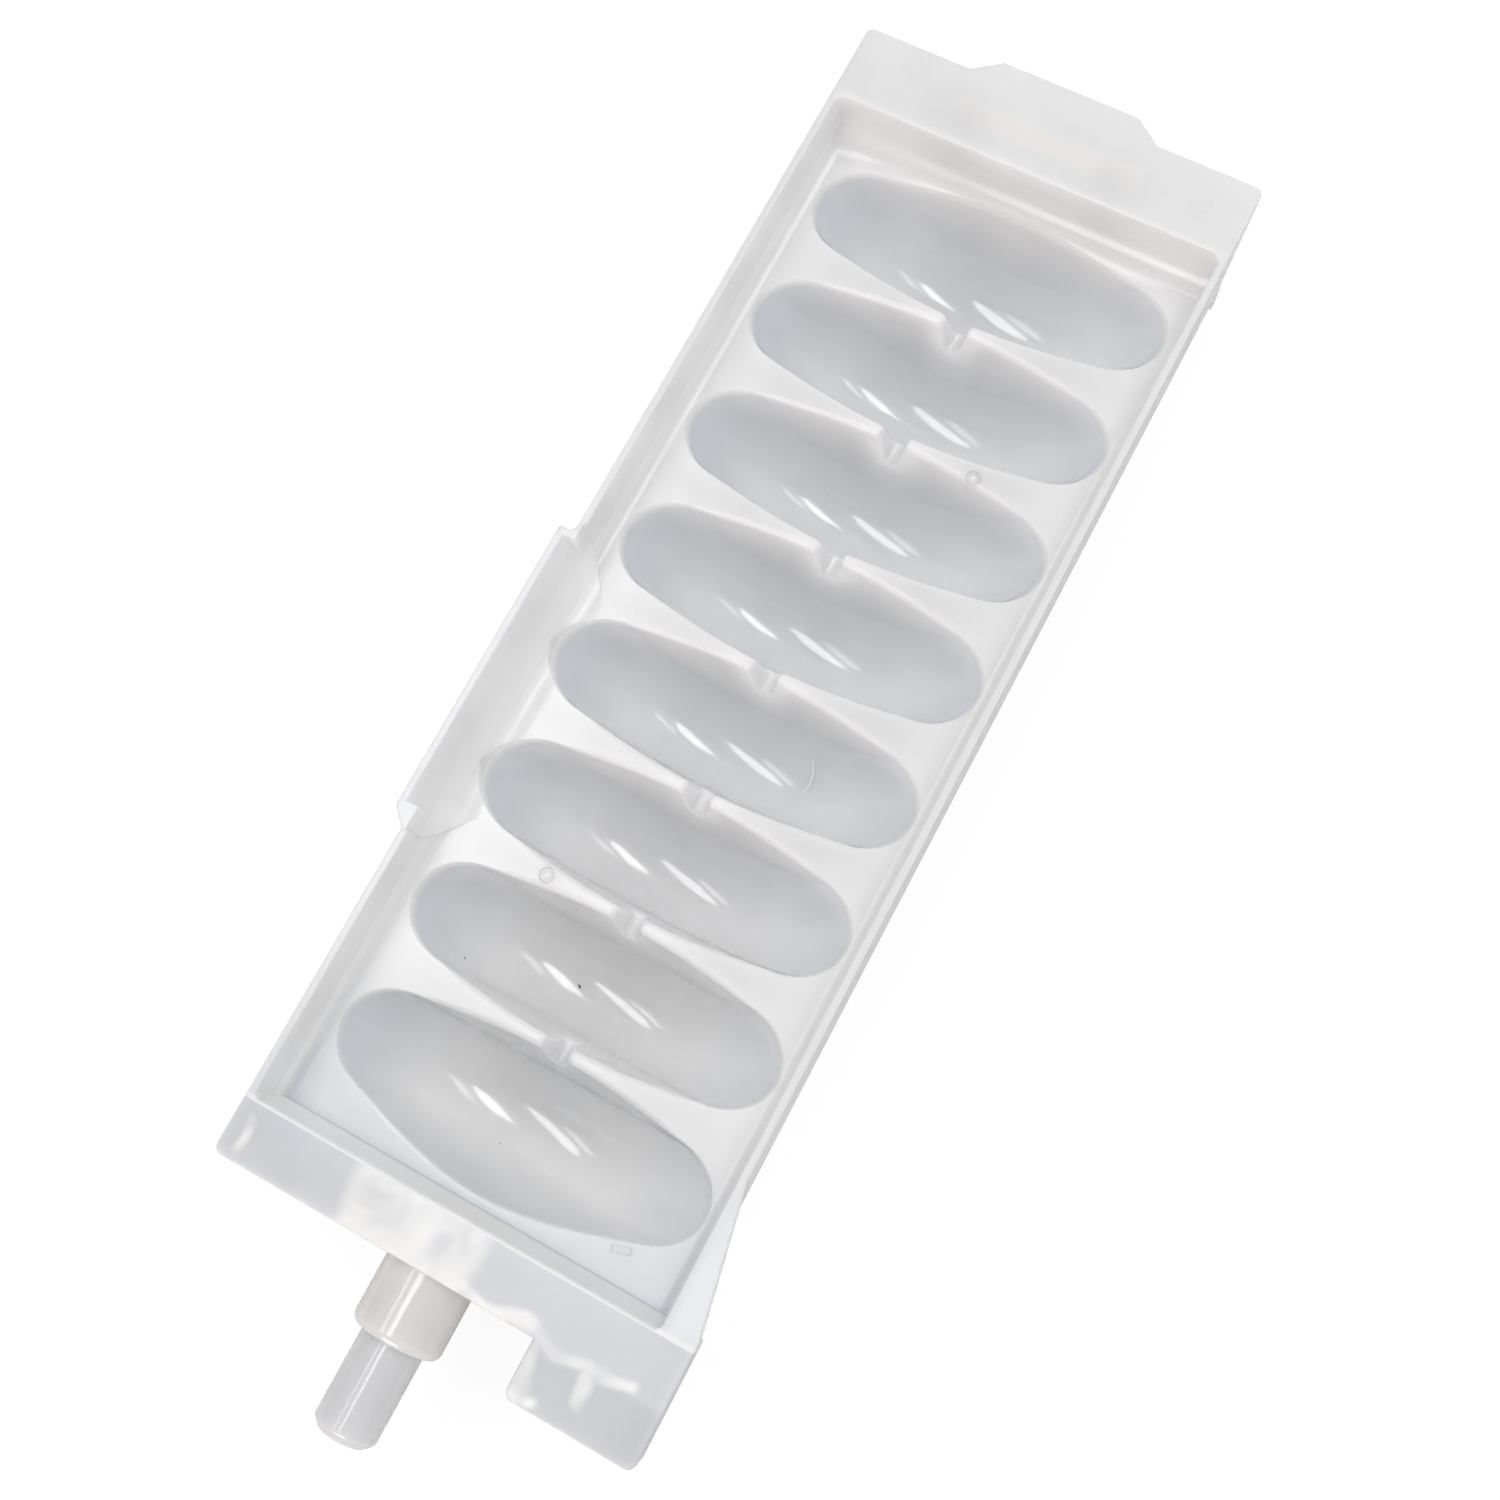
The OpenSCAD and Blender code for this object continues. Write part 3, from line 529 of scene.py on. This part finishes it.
class MarkTray(bpy.types.Operator):
    """Adds the gate marks, the small scuffs and the specks of dirt"""

    bl_idname = "ice_tray.marks"
    bl_label = "Add the small marks"

    def execute(self, context):
        scuffed = opaque_skin("scuffed_polypropylene", "#F8F8F8")
        # Painted shade: the grey of the witness lines round the gates and beside the last cup
        witness = opaque_skin("witness_line_polypropylene", "#D2D2D3")
        self.tray = bpy.data.objects["tray"]
        for number, (x, y) in enumerate(GATES, 1):
            self.finish(context, f"gate_ring_{number}", [self.ring(x, y, GATE_RADIUS, GATE_LINE)], witness)
            self.finish(context, f"gate_nub_{number}", [self.nub(x, y)], scuffed)
        for number, (x, y) in enumerate(EJECTORS, 1):
            ring = self.ring(x, y, EJECTOR_RADIUS, EJECTOR_LINE)
            self.finish(context, f"ejector_mark_{number}", [ring], scuffed)
        frame_mark = self.ring(*LIP_MARK, LIP_MARK_SIZE, LIP_MARK_LINE, FRAME_CORNERS, LIP_MARK_SHAPE,
                               LIP_MARK_TURN)
        self.finish(context, "lip_mark", [frame_mark], witness)
        self.finish(context, "arc_scuff", [self.scuff()], scuffed)
        self.finish(context, "dirt_specks", [self.speck(*speck) for speck in SPECKS], dark_dirt())
        return {"FINISHED"}

    def surface(self, x, y):
        """The tray's upper surface and its direction at x, y (mm)"""
        above = Vector((x * MM, y * MM, TRAY_HIGH.z + MM))
        _, point, normal, _ = self.tray.ray_cast(above, Vector((0, 0, -1)))
        return point, normal

    def lay(self, piece, x, y, turn=0.0):
        """Puts the piece on the surface at x, y, turned about the surface's own direction"""
        point, normal = self.surface(x, y)
        piece.location = point
        piece.rotation_mode = "QUATERNION"
        piece.rotation_quaternion = (normal.to_track_quat("Z", "Y")
                                     @ Quaternion((0, 0, 1), math.radians(turn)))
        return piece

    def ring(self, x, y, radius, thickness, corners=RING_CORNERS, shape=(1.0, 1.0), turn=0.0):
        """A thin raised line: a ring, or a frame whose sides lie along its axes"""
        bpy.ops.object.select_all(action="DESELECT")
        bpy.ops.mesh.primitive_torus_add(major_radius=radius * MM, minor_radius=thickness * MM,
                                         major_segments=corners, minor_segments=LINE_CORNERS)
        ring = bpy.context.object
        if corners == FRAME_CORNERS:
            ring.rotation_euler.z = math.pi / FRAME_CORNERS
            bpy.ops.object.transform_apply(location=False, rotation=True, scale=False)
        ring.scale = (*shape, LINE_HEIGHT)
        bpy.ops.object.transform_apply(location=False, rotation=False, scale=True)
        return self.lay(ring, x, y, turn)

    def nub(self, x, y):
        """The broken end of the runner in the middle of a gate mark"""
        bpy.ops.object.select_all(action="DESELECT")
        bpy.ops.mesh.primitive_cone_add(vertices=NUB_CORNERS, radius1=NUB_FOOT * MM, radius2=NUB_TOP * MM,
                                        depth=NUB_HEIGHT * MM)
        nub = bpy.context.object
        for number, vertex in enumerate(nub.data.vertices):
            if vertex.co.z > 0:
                vertex.co.z *= NUB_END + NUB_UNEVEN * math.sin(NUB_STEP * number)
        return self.lay(nub, x, y, NUB_TURN)

    def speck(self, x, y, length, width):
        """A flat speck of dirt"""
        bpy.ops.object.select_all(action="DESELECT")
        bpy.ops.mesh.primitive_ico_sphere_add(subdivisions=2, radius=1.0)
        speck = bpy.context.object
        speck.scale = (length * MM, width * MM, SPECK_HEIGHT * MM)
        bpy.ops.object.transform_apply(location=False, rotation=False, scale=True)
        return self.lay(speck, x, y, SPECK_TURN)

    def scuff(self):
        """A thin light arc scraped into the fifth cup"""
        (start, end), middle, radius = SCUFF_ENDS, SCUFF_MIDDLE, SCUFF_RADIUS * MM
        work = bmesh.new()
        rings = []
        for step in range(SCUFF_STEPS + 1):
            t = step / SCUFF_STEPS
            x, y = ((1 - t) ** 2 * a + 2 * t * (1 - t) * b + t ** 2 * c
                    for a, b, c in zip(start, middle, end))
            point, normal = self.surface(x, y)
            side = normal.orthogonal().normalized()
            size = radius * math.sin(math.pi * (SCUFF_TAPER[0] + SCUFF_TAPER[1] * t))
            across = normal.cross(side)
            rings.append([work.verts.new(point + size * (math.cos(turn) * side + math.sin(turn) * across
                                                         + SCUFF_RISE * normal))
                          for turn in SCUFF_CORNERS])
        corners = len(SCUFF_CORNERS)
        for one, two in zip(rings, rings[1:]):
            for i in range(corners):
                work.faces.new((one[i], one[(i + 1) % corners], two[(i + 1) % corners], two[i]))
        mesh = bpy.data.meshes.new("arc_scuff")
        work.to_mesh(mesh)
        work.free()
        scuff = bpy.data.objects.new("arc_scuff", mesh)
        bpy.context.scene.collection.objects.link(scuff)
        return scuff

    def finish(self, context, name, pieces, material):
        """Joins the pieces into one at the origin, gives it its material and lets it ride on the tray"""
        bpy.ops.object.select_all(action="DESELECT")
        for piece in pieces:
            piece.select_set(True)
        context.view_layer.objects.active = pieces[0]
        bpy.ops.object.transform_apply(location=True, rotation=True, scale=True)
        if len(pieces) > 1:
            bpy.ops.object.join()
        mark = context.view_layer.objects.active
        mark.name = name
        bpy.ops.object.shade_smooth_by_angle(angle=SMOOTH_ANGLE)
        mark.data.materials.clear()
        mark.data.materials.append(material)
        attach(mark, BODY)


class SetStage(bpy.types.Operator):
    """Makes the floor, the lamps and the camera"""

    bl_idname = "ice_tray.stage"
    bl_label = "Set the stage"

    def execute(self, context):
        studio = context.scene.tray_studio
        self.floor()
        for name, start, end, width, power in STRIPS:
            self.lamp(context, name, Vector(start), Vector(end), getattr(studio, width),
                      getattr(studio, power))
        for name, azimuth, elevation, colour, power in SOFT_LAMPS:
            self.soft_lamp(context, name, azimuth, elevation, colour, getattr(studio, power))
        # Mirrored in the cups, the lamp on the tab's side would smear the strip lamps' glints
        bpy.data.objects["lamp_side"].visible_glossy = False
        self.world(context, studio)
        self.camera(context, studio)
        return {"FINISHED"}

    def floor(self):
        """A white floor under the cups: its glow to the camera rises outwards, and it keeps the shadow"""
        bpy.ops.object.select_all(action="DESELECT")
        bpy.ops.mesh.primitive_plane_add(size=FLOOR_SIDE, location=(0, 0, TRAY_LOW.z))
        floor = bpy.context.object
        floor.name = "floor"
        bpy.ops.object.transform_apply(location=True, rotation=True, scale=True)
        material, tree = new_material("white_floor")
        paint = add_node(tree, "ShaderNodeBsdfDiffuse", Color=linear(FLOOR_GREY))
        place = add_node(tree, "ShaderNodeTexCoord").outputs["Object"]
        away = add_node(tree, "ShaderNodeVectorMath", {"operation": "LENGTH"}, _0=place).outputs["Value"]
        strength = add_node(tree, "ShaderNodeMapRange", Value=away, From_Min=GLOW_DISTANCES[0],
                            From_Max=GLOW_DISTANCES[1], To_Min=GLOW[0], To_Max=GLOW[1]).outputs[0]
        glow = add_node(tree, "ShaderNodeEmission", Color=(1, 1, 1, 1), Strength=strength)
        dim = add_node(tree, "ShaderNodeBsdfDiffuse", Color=(FLOOR_DIM, FLOOR_DIM, FLOOR_DIM, 1))
        seen = add_node(tree, "ShaderNodeAddShader", _0=glow.outputs[0], _1=dim.outputs[0])
        path = add_node(tree, "ShaderNodeLightPath")
        mix = add_node(tree, "ShaderNodeMixShader", Fac=path.outputs["Is Camera Ray"],
                       _1=paint.outputs[0], _2=seen.outputs[0])
        output = add_node(tree, "ShaderNodeOutputMaterial")
        tree.links.new(mix.outputs[0], output.inputs["Surface"])
        floor.data.materials.append(material)

    def lamp(self, context, name, start, end, width, power):
        """An oval strip lamp under the ceiling, from start to end"""
        way, middle = end - start, (end + start) / 2
        light = bpy.data.lights.new(name, "AREA")
        light.shape = "ELLIPSE"
        light.size = way.length
        light.size_y = width
        light.energy = power
        lamp = bpy.data.objects.new(name, light)
        context.scene.collection.objects.link(lamp)
        lamp.location = (middle.x, middle.y, STRIP_HEIGHT)
        lamp.rotation_euler = (0, 0, math.atan2(way.y, way.x))

    def soft_lamp(self, context, name, azimuth, elevation, colour, power):
        """A square soft lamp that shines on the tray's middle"""
        light = bpy.data.lights.new(name, "AREA")
        light.shape = "SQUARE"
        light.size = SOFT_SIDE
        light.energy = power
        light.color = linear(colour)[:3]
        lamp = bpy.data.objects.new(name, light)
        context.scene.collection.objects.link(lamp)
        middle = (TRAY_LOW + TRAY_HIGH) / 2
        turn, rise = math.radians(azimuth), math.radians(elevation)
        way = Vector((math.cos(turn) * math.cos(rise), math.sin(turn) * math.cos(rise), math.sin(rise)))
        lamp.location = middle + way * SOFT_DISTANCE
        lamp.rotation_euler = way.to_track_quat("Z", "Y").to_euler()

    def world(self, context, studio):
        """A soft white room that looks plain white to the camera"""
        world = bpy.data.worlds.new("room")
        world.use_nodes = True
        tree = world.node_tree
        tree.nodes.clear()
        light = add_node(tree, "ShaderNodeBackground", Color=(1, 1, 1, 1), Strength=studio.sky_strength)
        seen = add_node(tree, "ShaderNodeBackground", Color=(1, 1, 1, 1), Strength=1.0)
        path = add_node(tree, "ShaderNodeLightPath")
        mix = add_node(tree, "ShaderNodeMixShader", Fac=path.outputs["Is Camera Ray"],
                       _1=light.outputs[0], _2=seen.outputs[0])
        output = add_node(tree, "ShaderNodeOutputWorld")
        tree.links.new(mix.outputs[0], output.inputs["Surface"])
        context.scene.world = world

    def camera(self, context, studio):
        """The camera above the pin end, at the photograph's viewing angle"""
        camera = bpy.data.objects.new("camera", bpy.data.cameras.new("camera"))
        context.scene.collection.objects.link(camera)
        camera.data.lens = studio.lens
        camera.data.sensor_width = SENSOR_WIDTH
        camera.location = CAMERA_PLACE
        camera.rotation_euler = [math.radians(angle) for angle in CAMERA_TURN]
        camera.data.clip_start = CLIP_START
        context.scene.camera = camera


class TrayPanel(bpy.types.Panel):
    """Lists the tray's steps"""

    bl_label = "Ice tray"
    bl_idname = "VIEW3D_PT_ice_tray"
    bl_space_type = "VIEW_3D"
    bl_region_type = "UI"
    bl_category = "Ice tray"

    def draw(self, context):
        for step in (RoundTray, MarkTray, SetStage):
            self.layout.operator(step.bl_idname)


CLASSES = (StudioSettings, ShapeSettings, PlasticSettings, RoundTray, MarkTray, SetStage, TrayPanel)


def register():
    for item in CLASSES:
        bpy.utils.register_class(item)
    bpy.types.Scene.tray_studio = bpy.props.PointerProperty(type=StudioSettings)
    bpy.types.Scene.tray_shape = bpy.props.PointerProperty(type=ShapeSettings)
    bpy.types.Scene.tray_plastic = bpy.props.PointerProperty(type=PlasticSettings)


def unregister():
    del bpy.types.Scene.tray_plastic
    del bpy.types.Scene.tray_shape
    del bpy.types.Scene.tray_studio
    for item in reversed(CLASSES):
        bpy.utils.unregister_class(item)


def main():
    register()
    bpy.context.scene.view_settings.view_transform = "Standard"
    bpy.ops.ice_tray.stage()
    bpy.ops.ice_tray.round()
    bpy.ops.ice_tray.marks()


if __name__ == "__main__":
    main()
